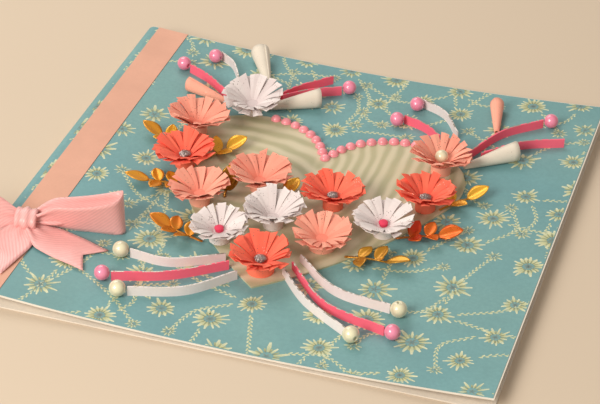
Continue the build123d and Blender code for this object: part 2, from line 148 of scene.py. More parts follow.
class CardSizes(bpy.types.PropertyGroup):
    """Sizes of the finishing pieces."""
    bow_radius: measure("Bow radius", "Of the cover's printed face", 0.899675, 5)
    bow_axis: measure("Bow axis height", "Of the trough's axis over the table", 0.901275, 5)
    low_x: measure("Trough", "Where the cover comes lowest", 0.006, 4)
    base_level: measure("Flower level", "Of the flower bases over the print", 0.00055, 5)
    cup_radius: measure("Cup floor", "Where a flower's petals start, inside the cup", 0.0022, 4)
    base_height: measure("Flower base height", "Of the rolled base", 0.0028, 4)
    petals: IntProperty(name="Petals", description="In each of a flower's two rows", default=16, min=6)
    paper: measure("Petal paper", "Thickness of the fringed paper", 0.00016, 5)
    strip_height: measure("Strip height", "Of a paper strip on its edge", 0.003, 4)
    strip_paper: measure("Strip paper", "Thickness of a strip", 0.00045, 5)
    ribbon_width: measure("Ribbon width", "Of the satin ribbon", 0.012, 4)
    ribbon_length: measure("Ribbon length", "Cut for the bow and its knot", 0.195, 3)


def colour(name, description, *steps):
    return FloatVectorProperty(name=name, description=description, subtype="COLOR", size=3,
                               min=0.0, max=1.0, default=paint(*steps))


class CardColours(bpy.types.PropertyGroup):
    """Colours of the papers, beads and ribbon."""
    card: colour("Card", "Smooth uncoated card of the two leaves", 234, 224, 210)
    ground: colour("Print ground", "Turquoise of the printed paper", 112, 160, 164)
    thread: colour("Print thread", "Pale yellow of the printed flowers and vines", 226, 224, 188)
    band: colour("Spine band", "Plain band beside the fold", 224, 170, 146)
    heart_pale: colour("Heart, pale", "Pale streaks of the marbled card", 216, 206, 178)
    heart_deep: colour("Heart, deep", "Khaki streaks of the marbled card", 166, 164, 128)
    trim: colour("Heart beads", "Half beads along the heart", 240, 148, 158)
    white: colour("White paper", "White petals and strips", 236, 225, 222)
    cone: colour("Cone paper", "Creamier paper of the white cones", 228, 217, 200)
    salmon: colour("Salmon paper", "Salmon petals and cones", 250, 172, 148)
    coral: colour("Coral paper", "Coral petals", 255, 120, 92)
    pink: colour("Pink paper", "Pink strips", 255, 106, 130)
    pink_pearl: colour("Pink pearl", "Lacquer of the pink beads", 250, 134, 162)
    white_pearl: colour("White pearl", "Lacquer of the white beads", 224, 212, 180)
    satin: colour("Satin", "Ribbon of the bow", 240, 176, 172)
    foil_gold: colour("Foil, gold", "Gold foil leaves", 246, 182, 56)
    foil_red: colour("Foil, red", "Where the foil turns red", 226, 52, 14)
    foil_dull: colour("Foil, dull", "Where the foil is brown and olive", 158, 104, 26)
    floor: colour("Floor", "Plain pale floor", 212, 194, 172)


def sizes():
    return bpy.context.scene.card_sizes


def colours():
    return bpy.context.scene.card_colours


# ---------------------------------------------------------------- places

def cover_point(x, y, height=0.0):
    """Point over x and y at this height on the bowed cover, all in metres."""
    size = sizes()
    radius = size.bow_radius - height
    return Vector((x, y, size.bow_axis - math.sqrt(radius ** 2 - (x - size.low_x) ** 2)))


def cover_frame(x, y, height=0.0, turn=0.0):
    """Frame on the cover's face, its Z along the face's normal."""
    size = sizes()
    lean = math.asin((x - size.low_x) / size.bow_radius)
    reach = size.bow_radius - height
    spot = Vector((size.low_x + reach * math.sin(lean), y, size.bow_axis - reach * math.cos(lean)))
    return (Matrix.Translation(spot) @ Matrix.Rotation(-lean, 4, "Y")
            @ Matrix.Rotation(math.radians(turn), 4, "Z"))


def through(points, count):
    """Evenly stepped points on a smooth curve through the given ones."""
    points = [Vector(p) for p in points]
    ends = [2 * points[0] - points[1], *points, 2 * points[-1] - points[-2]]
    made = []
    for number in range(count + 1):
        place = number / count * (len(points) - 1)
        span = min(int(place), len(points) - 2)
        t = place - span
        a, b, c, d = ends[span:span + 4]
        made.append(0.5 * (2 * b + (c - a) * t + (2 * a - 5 * b + 4 * c - d) * t ** 2
                           + (3 * b - a - 3 * c + d) * t ** 3))
    return made


def toward(heading):
    return Vector((math.cos(heading), math.sin(heading)))


def smooth(value):
    value = min(1.0, max(0.0, value))
    return value * value * (3 - 2 * value)


# ---------------------------------------------------------------- meshes

def grid(bm, columns, rows):
    """New flat grid, as rows of vertices from its start to its end."""
    made = bmesh.ops.create_grid(bm, x_segments=columns, y_segments=rows, size=0.5)["verts"]
    order = sorted(made, key=lambda v: (round(v.co.y, 5), round(v.co.x, 5)))
    return [order[row * (columns + 1):(row + 1) * (columns + 1)] for row in range(rows + 1)]


def blank(*names):
    """New mesh whose vertices carry these numbers."""
    bm = bmesh.new()
    for name in names:
        bm.verts.layers.float.new(name)
    return bm


def mark(bm, rows, name, values):
    """Writes a number on each vertex of a grid, by a function of the shares across and along."""
    layer = bm.verts.layers.float[name]
    for r, row in enumerate(rows):
        for c, vert in enumerate(row):
            vert[layer] = values(c / (len(row) - 1), r / (len(rows) - 1))


def finish_piece(name, bm, finish, replaces=(), rounded=True, thickness=0.0, recalc=True):
    """Makes the object of a finished mesh, in place, hangs it on the root body and hides the frame's
    parts that it replaces.
    """
    if recalc:
        bmesh.ops.recalc_face_normals(bm, faces=bm.faces)
    mesh = bpy.data.meshes.new(name)
    bm.to_mesh(mesh)
    bm.free()
    for face in mesh.polygons:
        face.use_smooth = rounded
    piece = bpy.data.objects.new(name, mesh)
    bpy.context.scene.collection.objects.link(piece)
    mesh.materials.append(finish)
    if thickness:
        wall = piece.modifiers.new("Thickness", "SOLIDIFY")
        wall.thickness = thickness
        wall.offset = 0.0
    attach(piece, "root")
    if replaces:
        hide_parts(*replaces)
    return piece


def repaint(node, finish):
    """Gives a carried-over CAD node its finish."""
    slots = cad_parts[node].data.materials
    slots.clear()
    slots.append(finish)


# ---------------------------------------------------------------- finishes

# Where a mix node keeps its colour sockets; its sockets share their names with other types
MIX_COLOUR_A = 6
MIX_COLOUR_B = 7
MIX_RESULT = 2


class Finish:
    """A material put together around one Principled shader."""

    def __init__(self, name, **settings):
        self.material = bpy.data.materials.new(name)
        self.material.use_nodes = True
        self.tree = self.material.node_tree
        self.shader = self.tree.nodes["Principled BSDF"]
        for socket, value in settings.items():
            self.shader.inputs[socket].default_value = value
        self.place = self.tree.nodes.new("ShaderNodeTexCoord").outputs["Object"]

    def put(self, value, socket):
        """Links an output to a socket, or writes a plain value on it."""
        if isinstance(value, bpy.types.NodeSocket):
            self.tree.links.new(value, socket)
        elif hasattr(value, "__len__"):
            lacks_alpha = len(value) == 3 and len(socket.default_value) == 4
            socket.default_value = (*value, 1.0) if lacks_alpha else value
        else:
            socket.default_value = value

    def noise(self, scale, detail=2.0, roughness=0.5, place=None):
        node = self.tree.nodes.new("ShaderNodeTexNoise")
        node.inputs["Scale"].default_value = scale
        node.inputs["Detail"].default_value = detail
        node.inputs["Roughness"].default_value = roughness
        self.put(place or self.place, node.inputs["Vector"])
        return node.outputs["Fac"]

    def cells(self, scale):
        node = self.tree.nodes.new("ShaderNodeTexVoronoi")
        node.inputs["Scale"].default_value = scale
        self.put(self.place, node.inputs["Vector"])
        return node.outputs["Distance"]

    def stretch(self, scale, place=None, turn=(0, 0, 0), shift=(0, 0, 0)):
        node = self.tree.nodes.new("ShaderNodeMapping")
        node.inputs["Scale"].default_value = scale
        node.inputs["Rotation"].default_value = turn
        node.inputs["Location"].default_value = shift
        self.put(place or self.place, node.inputs["Vector"])
        return node.outputs["Vector"]

    def bands(self, scale, place=None, distortion=0.0, rings=False):
        node = self.tree.nodes.new("ShaderNodeTexWave")
        node.wave_type = "RINGS" if rings else "BANDS"
        node.rings_direction = "Z"
        node.inputs["Scale"].default_value = scale
        node.inputs["Distortion"].default_value = distortion
        self.put(place or self.place, node.inputs["Vector"])
        return node.outputs["Fac"]

    def steps(self, value, *stops):
        """Number from 0 to 1 turned into a colour or grey by stops of position and value."""
        node = self.tree.nodes.new("ShaderNodeValToRGB")
        while len(node.color_ramp.elements) < len(stops):
            node.color_ramp.elements.new(0.5)
        for element, (position, tint) in zip(node.color_ramp.elements, stops):
            element.position = position
            element.color = (*tint, 1.0) if hasattr(tint, "__len__") else (tint, tint, tint, 1.0)
        self.put(value, node.inputs["Fac"])
        return node.outputs["Color"]

    def mix(self, share, a, b):
        node = self.tree.nodes.new("ShaderNodeMix")
        node.data_type = "RGBA"
        self.put(share, node.inputs["Factor"])
        self.put(a, node.inputs[MIX_COLOUR_A])
        self.put(b, node.inputs[MIX_COLOUR_B])
        return node.outputs[MIX_RESULT]

    def sum(self, kind, a, b):
        node = self.tree.nodes.new("ShaderNodeMath")
        node.operation = kind
        self.put(a, node.inputs[0])
        self.put(b, node.inputs[1])
        return node.outputs[0]

    def mark(self, name, output="Fac"):
        node = self.tree.nodes.new("ShaderNodeAttribute")
        node.attribute_name = name
        return node.outputs[output]

    def relief(self, height, depth, strength=1.0):
        node = self.tree.nodes.new("ShaderNodeBump")
        node.inputs["Distance"].default_value = depth
        node.inputs["Strength"].default_value = strength
        self.put(height, node.inputs["Height"])
        self.put(node.outputs["Normal"], self.shader.inputs["Normal"])

    def give(self, socket, value):
        self.put(value, self.shader.inputs[socket])


def shade(tint, factor):
    return tuple(min(1.0, channel * factor) for channel in tint)


def paper_finish(name, tint, fibre=1400.0, specks=0.0):
    """Matte paper: soft mottling, fine fibre and, if asked, scattered glitter."""
    made = Finish(name, Roughness=0.82)
    cloud = made.noise(90.0, 3.0)
    fine = made.noise(fibre, 4.0, 0.65)
    base = made.mix(made.steps(cloud, (0.35, 0.0), (0.7, 1.0)), shade(tint, 0.95), shade(tint, 1.05))
    base = made.mix(made.steps(fine, (0.3, 0.0), (0.75, 0.35)), base, shade(tint, 0.86))
    if specks:
        far = made.cells(1500.0)
        patch = made.noise(260.0, 2.0)
        dot = made.sum("MULTIPLY", made.steps(far, (specks, 1.0), (specks + 0.04, 0.0)),
                       made.steps(patch, (0.48, 0.0), (0.56, 1.0)))
        base = made.mix(dot, base, paint(150, 140, 130))
        made.give("Roughness", made.sum("SUBTRACT", 0.82, made.sum("MULTIPLY", dot, 0.55)))
        made.give("Metallic", made.sum("MULTIPLY", dot, 0.8))
    made.give("Base Color", base)
    made.relief(fine, 0.00004, 0.5)
    return made


def petal_finish(name, tint, deep):
    """Fringed paper: each petal its own tone, with painted shade towards its foot in the cup and a
    painted highlight that makes it paler at its cut tip, with glitter.
    """
    made = paper_finish(name, tint, 1600.0, specks=0.19)
    base = made.shader.inputs["Base Color"].links[0].from_socket
    own = made.mix(made.steps(made.mark("tone"), (0.0, 0.45), (1.0, 0.0)), base, deep)
    # Painted shade: darker towards the petal's foot, down in the cup.
    tip = made.mix(made.steps(made.mark("reach"), (0.0, 0.38), (0.45, 0.0)), own, deep)
    # Painted highlight: paler towards the petal's cut tip.
    lit = made.mix(made.steps(made.mark("reach"), (0.9, 0.0), (1.0, 0.3)), tip, shade(tint, 1.12))
    made.give("Base Color", lit)
    return made.material


def strip_finish(name, tint):
    """Strip paper, with glitter caught along its top edge."""
    made = paper_finish(name, tint)
    base = made.shader.inputs["Base Color"].links[0].from_socket
    facing = made.tree.nodes.new("ShaderNodeNewGeometry")
    split = made.tree.nodes.new("ShaderNodeSeparateXYZ")
    made.put(facing.outputs["Normal"], split.inputs[0])
    top = made.sum("MULTIPLY", made.steps(split.outputs["Z"], (0.75, 0.0), (0.9, 1.0)),
                   made.steps(made.noise(700.0, 2.0), (0.48, 0.0), (0.54, 1.0)))
    made.give("Base Color", made.mix(top, base, paint(176, 168, 156)))
    made.give("Metallic", made.sum("MULTIPLY", top, 0.6))
    made.give("Roughness", made.sum("SUBTRACT", 0.8, made.sum("MULTIPLY", top, 0.5)))
    return made.material


def printed_finish():
    tint = colours().ground
    made = Finish("turquoise printed paper", Roughness=0.62)
    cloud = made.noise(32.0, 4.0, 0.6)
    weave = made.noise(900.0, 3.0, 0.7)
    yellow = made.noise(14.0, 2.0)
    base = made.mix(made.steps(cloud, (0.3, 0.0), (0.72, 1.0)), shade(tint, 0.88), shade(tint, 1.08))
    base = made.mix(made.steps(yellow, (0.4, 0.0), (0.8, 0.3)), base, paint(150, 176, 150))
    base = made.mix(made.steps(weave, (0.35, 0.0), (0.75, 0.4)), base, shade(tint, 0.72))
    made.give("Base Color", base)
    made.relief(weave, 0.00003, 0.5)
    return made.material


def thread_finish():
    """Printed stitches: the colour is written on the mesh and broken up by fine ink grain."""
    made = Finish("printed thread", Roughness=0.62)
    grain = made.noise(1500.0, 3.0, 0.7)
    base = made.mix(made.steps(grain, (0.35, 0.0), (0.7, 0.4)), made.mark("ink", "Color"),
                    shade(colours().ground, 1.0))
    made.give("Base Color", base)
    return made.material


def marbled_finish():
    """Marbled card: a swirl on the left lobe, combed upright streaks on the right."""
    tint = colours()
    made = Finish("marbled card", Roughness=0.6)
    warp = made.noise(38.0, 3.0, 0.5)
    split = made.tree.nodes.new("ShaderNodeSeparateXYZ")
    made.put(made.place, split.inputs[0])
    right = made.bands(88.0, made.stretch((1.0, 0.45, 1.0), shift=(-0.001, -0.008, 0.0)), 4.0, True)
    left = made.bands(46.0, made.stretch((1.0, 1.3, 1.0), shift=(0.02, -0.005, 0.0)), 4.0, True)
    side = made.steps(made.sum("MULTIPLY_ADD", split.outputs["X"], 20.0), (0.46, 0.0), (0.54, 1.0))
    streak = made.mix(side, left, right)
    base = made.mix(made.steps(streak, (0.1, 0.12), (0.9, 0.88)), tint.heart_deep, tint.heart_pale)
    base = made.mix(made.steps(warp, (0.35, 0.0), (0.7, 0.5)), base, paint(198, 184, 146))
    made.give("Base Color", base)
    made.relief(made.noise(1300.0, 3.0), 0.00003, 0.4)
    return made.material


def pearl_finish(name, tint):
    made = Finish(name, Roughness=0.28)
    made.shader.inputs["Coat Weight"].default_value = 0.9
    made.shader.inputs["Coat Roughness"].default_value = 0.08
    edge = made.tree.nodes.new("ShaderNodeLayerWeight")
    edge.inputs["Blend"].default_value = 0.45
    cloud = made.noise(500.0, 2.0)
    # Painted highlight and sheen: lighter where the bead faces the camera, darker in a ring, and lighter
    # again at its rim.
    painted_sheen_ring = made.steps(edge.outputs["Facing"], (0.0, 0.35), (0.3, 1.0), (0.62, 0.55), (0.9, 0.0))
    base = made.mix(painted_sheen_ring, shade(tint, 1.5), shade(tint, 0.84))
    base = made.mix(made.steps(cloud, (0.4, 0.0), (0.7, 0.2)), base, shade(tint, 1.3))
    made.give("Base Color", base)
    return made.material


def foil_finish():
    tint = colours()
    made = Finish("metallic foil", Roughness=0.3, Metallic=0.5)
    crease = made.noise(420.0, 3.0, 0.6)
    cloud = made.noise(150.0, 2.0)
    base = made.mix(made.mark("red"), tint.foil_gold, tint.foil_red)
    base = made.mix(made.mark("dull"), base, tint.foil_dull)
    base = made.mix(made.steps(cloud, (0.4, 0.0), (0.75, 0.5)), base, shade(tint.foil_gold, 0.62))
    made.give("Base Color", base)
    made.give("Roughness", made.steps(crease, (0.3, 0.22), (0.7, 0.42)))
    made.relief(crease, 0.0001, 0.6)
    return made.material


def satin_finish():
    """Satin: fine slanting weave on the ribbon's own map, and a soft sheen along it."""
    tint = colours().satin
    made = Finish("pink satin", Roughness=0.36)
    made.shader.inputs["Sheen Weight"].default_value = 0.35
    made.shader.inputs["Sheen Roughness"].default_value = 0.35
    made.shader.inputs["Anisotropic"].default_value = 0.5
    flat = made.tree.nodes.new("ShaderNodeUVMap")
    flat.uv_map = "cloth"
    slant = made.stretch((1.0, 1.0, 1.0), flat.outputs["UV"], turn=(0, 0, 0.6))
    weave = made.bands(330.0, slant, 0.4)
    cross = made.noise(520.0, 2.0, place=flat.outputs["UV"])
    base = made.mix(made.steps(weave, (0.2, 0.0), (0.8, 0.45)), shade(tint, 1.05), shade(tint, 0.84))
    base = made.mix(made.steps(cross, (0.4, 0.0), (0.75, 0.25)), base, shade(tint, 1.2))
    made.give("Base Color", base)
    made.relief(weave, 0.00005, 0.6)
    return made.material


def silver_finish():
    made = Finish("crumpled silver foil", Roughness=0.34, Metallic=0.7)
    grain = made.noise(900.0, 3.0, 0.7)
    made.give("Base Color", made.steps(grain, (0.3, paint(104, 88, 84)), (0.7, paint(180, 166, 162))))
    made.relief(grain, 0.0002, 1.0)
    return made.material


# ---------------------------------------------------------------- pieces

def stitch(bm, ink, x, y, heading, length, width, foot, tip):
    """One printed petal or stitch: a six-cornered sliver, shaded from its foot to its tip."""
    made = bmesh.ops.create_circle(bm, cap_ends=True, segments=6, radius=0.5)["verts"]
    turn = Matrix.Rotation(heading, 4, "Z")
    place = Matrix.Translation((x, y, 0.0)) @ turn @ Matrix.Translation((length / 2, 0.0, 0.0))
    for vert in made:
        share = vert.co.x + 0.5
        blend = tuple(f + (t - f) * share for f, t in zip(foot, tip))
        vert.co = Vector((vert.co.x * length, vert.co.y * width, 0.0))
        vert[ink] = (*blend, 1.0)
    bmesh.ops.transform(bm, matrix=place, verts=made)


def daisy(bm, ink, draw, x, y, radius, petals):
    """Printed daisy: two rows of pointed petals round a dotted eye."""
    pale, mid, deep = colours().thread, paint(186, 184, 122), paint(104, 112, 92)
    start = draw.uniform(0, TAU)
    for number in range(petals):
        heading = start + (number + draw.uniform(-0.2, 0.2)) * TAU / petals
        reach = radius * draw.uniform(0.82, 1.05)
        foot = radius * 0.26
        stitch(bm, ink, x + foot * math.cos(heading), y + foot * math.sin(heading), heading,
               (reach - foot) * draw.uniform(0.66, 1.14), radius * draw.uniform(0.12, 0.2), mid,
               shade(pale, draw.uniform(0.94, 1.14)))
        inner = heading + TAU / petals / 2
        stitch(bm, ink, x + foot * math.cos(inner), y + foot * math.sin(inner), inner,
               radius * draw.uniform(0.3, 0.42), radius * 0.11, deep, mid)
    for number in range(petals // 2):
        heading = start + number * 2 * TAU / petals
        stitch(bm, ink, x, y, heading, radius * draw.uniform(0.2, 0.36), radius * 0.1,
               paint(92, 110, 108), paint(142, 150, 134))


def vine(bm, ink, draw, points):
    """Stem of short slanting stitches, like a twisted cord."""
    pale = colours().thread
    line = through([(*p, 0.0) for p in points], 40)
    length = sum((b - a).length for a, b in zip(line, line[1:]))
    count = max(4, int(length / (0.8 * MM)))
    line = through([tuple(p) for p in line], count)
    for number, (a, b) in enumerate(zip(line, line[1:])):
        heading = math.atan2(b.y - a.y, b.x - a.x)
        slant = 0.5 if number % 2 else -0.35
        stitch(bm, ink, a.x, a.y, heading + slant, draw.uniform(1.25, 1.6) * MM,
               draw.uniform(0.48, 0.64) * MM, paint(188, 188, 124), shade(pale, draw.uniform(0.95, 1.12)))


def clip(bm, low_x, high_x, half_y):
    """Cuts off what lies past the printed sheet's edges."""
    for spot, way in (((high_x, 0, 0), (1, 0, 0)), ((low_x, 0, 0), (-1, 0, 0)),
                      ((0, half_y, 0), (0, 1, 0)), ((0, -half_y, 0), (0, -1, 0))):
        bmesh.ops.bisect_plane(bm, geom=[*bm.verts, *bm.edges, *bm.faces], plane_co=spot,
                               plane_no=way, clear_outer=True)


def lay_on_cover(bm, height):
    for vert in bm.verts:
        vert.co = cover_point(vert.co.x, vert.co.y, height + vert.co.z)


# Printed pattern, in millimetres: how many daisies at most, how far apart, and how near a small
# star may come to a daisy or to another star
DAISIES = 96
DAISY_TRIES = 6000
DAISY_SPACING = 13.0
STAR_TO_DAISY = 7
STAR_TO_STAR = 5.5
VINE_ROOT = 5
PRINT_LOW_X = -73.2
PRINT_EDGE = 75.4


def printed_pattern():
    """Daisies, small stars and vines, in a layout of their own."""
    draw = random.Random(41)
    daisies = []
    tries = 0
    while len(daisies) < DAISIES and tries < DAISY_TRIES:
        tries += 1
        spot = (draw.uniform(-74, 77), draw.uniform(-77, 77))
        if all(math.dist(spot, other) > DAISY_SPACING for other in daisies):
            daisies.append(spot)
    flower_bm, vine_bm = bmesh.new(), bmesh.new()
    flower_ink = flower_bm.verts.layers.float_color.new("ink")
    vine_ink = vine_bm.verts.layers.float_color.new("ink")
    stars = []
    for x, y in daisies:
        daisy(flower_bm, flower_ink, draw, x * MM, y * MM, draw.uniform(4.4, 6.2) * MM,
              draw.choice((10, 12, 14, 16)))
        start = draw.uniform(0, TAU)
        for number in range(draw.choice((2, 3, 3, 4))):
            heading = start + number * draw.uniform(0.55, 1.0)
            length = draw.uniform(11, 30)
            bend = draw.uniform(-1.0, 1.0)
            root = Vector((x, y)) + VINE_ROOT * toward(heading)
            middle = root + length / 2 * toward(heading + bend / 2)
            tip = middle + length / 2 * toward(heading + 1.6 * bend)
            if min(math.dist(tip, other) for other in daisies) < STAR_TO_DAISY:
                continue
            if stars and min(math.dist(tip, other) for other in stars) < STAR_TO_STAR:
                continue
            stars.append(tuple(tip))
            vine(vine_bm, vine_ink, draw, [tuple(p * MM) for p in (root, middle, tip)])
    for x, y in stars:
        daisy(flower_bm, flower_ink, draw, x * MM, y * MM, draw.uniform(2.4, 3.3) * MM,
              draw.choice((8, 9, 10)))
    finish = thread_finish()
    edge = PRINT_EDGE * MM
    layers = (("printed_vines", vine_bm, 0.02 * MM), ("printed_daisies", flower_bm, 0.03 * MM))
    for name, bm, height in layers:
        clip(bm, PRINT_LOW_X * MM, edge, edge)
        lay_on_cover(bm, height)
        finish_piece(name, bm, finish, rounded=False, recalc=False)


def half_beads():
    """Half beads along the heart's rim, standing where the frame's row stands."""
    draw = random.Random(7)
    bm = bmesh.new()
    for spot in bead_spots(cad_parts["heart_bead_trim"]):
        made = bmesh.ops.create_uvsphere(bm, u_segments=18, v_segments=12, radius=1.65 * MM)["verts"]
        edges = list({e for v in made for e in v.link_edges})
        faces = list({f for v in made for f in v.link_faces})
        cut = bmesh.ops.bisect_plane(bm, geom=[*made, *edges, *faces], plane_co=(0, 0, 0),
                                     plane_no=(0, 0, 1), clear_inner=True)
        kept = [v for v in cut["geom"] if isinstance(v, bmesh.types.BMVert) and v.is_valid]
        rim = [e for e in cut["geom_cut"] if isinstance(e, bmesh.types.BMEdge)]
        bmesh.ops.contextual_create(bm, geom=rim)
        squash = Matrix.Diagonal((draw.uniform(0.94, 1.0), draw.uniform(0.94, 1.0),
                                  draw.uniform(0.84, 0.98), 1))
        turn = Matrix.Rotation(draw.uniform(0, TAU), 4, "Z")
        bmesh.ops.transform(bm, matrix=spot @ turn @ squash, verts=kept)
    made = Finish("pink gloss bead", Roughness=0.35)
    made.shader.inputs["Coat Weight"].default_value = 0.4
    made.shader.inputs["Coat Roughness"].default_value = 0.2
    cloud = made.noise(420.0, 2.0)
    tint = colours().trim
    made.give("Base Color", made.mix(made.steps(cloud, (0.35, 0.0), (0.7, 1.0)),
                                     shade(tint, 0.94), shade(tint, 1.12)))
    finish_piece("heart_half_beads", bm, made.material, ["heart_bead_trim"])


def bead_spots(row):
    """Frames of the beads in a node of many, from its loose shells."""
    bm = bmesh.new()
    bm.from_mesh(row.data)
    bmesh.ops.remove_doubles(bm, verts=bm.verts, dist=0.001 * MM)
    left, spots = set(bm.verts), []
    while left:
        shell, queue = set(), [left.pop()]
        while queue:
            vert = queue.pop()
            shell.add(vert)
            for edge in vert.link_edges:
                other = edge.other_vert(vert)
                if other in left:
                    left.discard(other)
                    queue.append(other)
        xs, ys = [v.co.x for v in shell], [v.co.y for v in shell]
        spots.append(cover_frame((min(xs) + max(xs)) / 2, (min(ys) + max(ys)) / 2, 0.55 * MM))
    bm.free()
    return sorted(spots, key=lambda spot: (spot.translation.x, spot.translation.y))


def flower_frame(x, y, tilt, way):
    """Frame of a flower's cup: on its base, tilted about the middle of its floor."""
    size = sizes()
    turn = math.radians(way)
    return (cover_frame(x * MM, y * MM, size.base_level) @ Matrix.Translation((0, 0, size.base_height))
            @ Matrix.Rotation(turn, 4, "Z") @ Matrix.Rotation(math.radians(tilt), 4, "Y")
            @ Matrix.Rotation(-turn, 4, "Z"))


def petal(bm, draw, cup, angle, inner, rim, height, width, lift, tone):
    """One cut petal, bent outwards from the rolled base and slightly troughed."""
    rows = grid(bm, 2, 6)
    run = rim - inner
    skew = draw.uniform(-0.07, 0.07)
    droop = draw.uniform(-0.06, 0.2)
    trough = draw.uniform(-0.16, 0.1)
    sway = draw.uniform(-0.08, 0.08)
    twist = draw.uniform(-0.2, 0.2)
    for r, row in enumerate(rows):
        along = r / (len(rows) - 1)
        for c, vert in enumerate(row):
            side = c - 1.0
            t = along * (1 + skew * side)
            out = inner + run * (0.86 * t * (1 - t) + t * t)
            rise = height * (1.16 * t * (1 - t) + t * t - droop * t ** 4)
            half = width * (0.34 + 0.66 * along) / 2
            lateral = side * half * math.cos(twist * along)
            rise += half * (trough * side * side + side * math.sin(twist * along) * along)
            spin = angle + sway * along * along
            spot = Vector((out * math.cos(spin) - lateral * math.sin(spin),
                           out * math.sin(spin) + lateral * math.cos(spin), rise + lift))
            vert.co = cup @ spot
    mark(bm, rows, "tone", lambda u, v: tone)
    # Share along the petal, from which the petal finish paints shade at its foot and a highlight at its
    # tip.
    mark(bm, rows, "reach", lambda u, v: v)


def rolled_wall(bm, place, radius, height, turns, pitch, steps_per_turn=28):
    """Paper wound round itself on edge, for bases and small rolls."""
    count = int(turns * steps_per_turn)
    rows = grid(bm, 2, count)
    for r, row in enumerate(rows):
        angle = r / steps_per_turn * TAU
        reach = radius - pitch * (turns - r / steps_per_turn)
        for c, vert in enumerate(row):
            vert.co = place @ Vector((reach * math.cos(angle), reach * math.sin(angle), height * c / 2))
    # Marked as a petal's cut tip, so under a petal finish the wall takes the painted highlight.
    mark(bm, rows, "tone", lambda u, v: 0.9)
    mark(bm, rows, "reach", lambda u, v: 1.0)


def flower(name, x, y, rim, height, tilt, way, base, finish, slot):
    """Fringed flower: a rolled base, the cup's floor and two rows of cut petals."""
    draw = random.Random(name)
    size = sizes()
    bm = blank("tone", "reach")
    cup = flower_frame(x, y, tilt, way)
    foot = cover_frame(x * MM, y * MM, size.base_level)
    rolled_wall(bm, foot, base * MM, size.base_height + 0.1 * MM, 2.2, 0.3 * MM)
    # The floor keeps tone and reach at 0, so the petal finish paints it in the deep tone with the painted
    # shade of a petal's foot.
    floor = bmesh.ops.create_circle(bm, cap_ends=True, segments=28, radius=base * MM)["verts"]
    for vert in floor:
        vert.co = cup @ (vert.co + Vector((0, 0, 0.25 * MM)))
    count = size.petals
    start = draw.uniform(0, TAU)
    for layer, (share, steep, lift, wide) in enumerate(((0.99, 0.86, 0.0, 1.1), (0.93, 1.02, 0.3, 1.0))):
        for number in range(count):
            angle = start + (number + layer / 2 + draw.uniform(-0.16, 0.16)) * TAU / count
            reach = rim * MM * share * draw.uniform(0.92, 1.03)
            rise = height * MM * steep * draw.uniform(0.88, 1.16)
            width = TAU * reach / count * wide * draw.uniform(0.62, 1.0)
            petal(bm, draw, cup, angle, size.cup_radius * (1.0 - 0.2 * layer), reach, rise, width,
                  lift * MM, draw.uniform(0.0, 1.0))
    finish_piece(name + "_fringed", bm, finish, [name], rounded=False,
                 thickness=size.paper, recalc=False)


def flower_centre(bm, name, kind, radius):
    """Roll, crumpled foil ball or pearl, standing on the floor of its flower's cup."""
    draw = random.Random(name + kind)
    x, y, _, _, tilt, way, _ = {row[0]: row[1:] for row in FLOWERS}[name]
    floor = flower_frame(x, y, tilt, way) @ Matrix.Translation((0, 0, 0.3 * MM))
    if kind == "roll":
        rolled_wall(bm, floor, radius * MM, 1.1 * MM, 3.5, 0.3 * MM, 16)
        cap = bmesh.ops.create_uvsphere(bm, u_segments=16, v_segments=8, radius=radius * MM)["verts"]
        for vert in cap:
            vert.co = floor @ Vector((vert.co.x * 0.96, vert.co.y * 0.96, 1.0 * MM + vert.co.z * 0.35))
        return
    made = bmesh.ops.create_uvsphere(bm, u_segments=24, v_segments=16, radius=radius * MM)["verts"]
    flat = 0.4 if kind == "silver" else 1.0
    for vert in made:
        bump = 1 + (draw.uniform(-0.09, 0.09) if kind == "silver" else 0.0)
        vert.co = floor @ (Vector((vert.co.x, vert.co.y, vert.co.z * flat)) * bump
                           + Vector((0, 0, 0.3 * MM + radius * MM * flat)))


def drilled_pearl(name, hole_heading, finish):
    """Bead turned from its half outline, with its drilled hole, where the frame's bead is."""
    low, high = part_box(name)
    middle = (low + high) / 2
    radius = max(high.x - low.x, high.y - low.y) / 2
    hole = 0.5 * MM
    bm = bmesh.new()
    edge = math.asin(hole / radius)
    steps = 14
    profile = []
    for number in range(steps + 1):
        angle = edge + (math.pi - 2 * edge) * number / steps
        profile.append(bm.verts.new((radius * math.sin(angle), 0, radius * math.cos(angle))))
    for share in (-0.5, 0.0, 0.5):
        profile.append(bm.verts.new((hole, 0, share * radius)))
    edges = [bm.edges.new((a, b)) for a, b in zip(profile, profile[1:] + profile[:1])]
    bmesh.ops.spin(bm, geom=[*profile, *edges], cent=(0, 0, 0), axis=(0, 0, 1), angle=TAU,
                   steps=36, use_merge=True, use_duplicate=False)
    bmesh.ops.remove_doubles(bm, verts=bm.verts, dist=0.001 * MM)
    lay = Matrix.Identity(4)
    if hole_heading is not None:
        lay = Matrix.Rotation(math.radians(hole_heading), 4, "Z") @ Matrix.Rotation(math.pi / 2, 4, "Y")
    bmesh.ops.transform(bm, matrix=Matrix.Translation(middle) @ lay, verts=bm.verts)
    finish_piece(name + "_lacquered", bm, finish, [name])


def paper_strip(name, start, middle, end, finish, slot):
    """Quilling strip on its edge, along a curve through three points."""
    draw = random.Random(name)
    size = sizes()
    steps, levels = 26, 4
    line = through([(*p, 0.0) for p in (start, middle, end)], steps)
    bm = bmesh.new()
    rows = grid(bm, levels, steps)
    lean = draw.uniform(-0.05, 0.05)
    for r, row in enumerate(rows):
        ahead = line[min(r + 1, steps)] - line[max(r - 1, 0)]
        side = Vector((-ahead.y, ahead.x, 0)).normalized()
        for c, vert in enumerate(row):
            up = c / levels
            spot = line[r] * MM + side * (lean * up * size.strip_height)
            vert.co = cover_point(spot.x, spot.y, up * size.strip_height)
    finish_piece(name + "_paper", bm, finish, [name], rounded=False,
                 thickness=size.strip_paper, recalc=False)


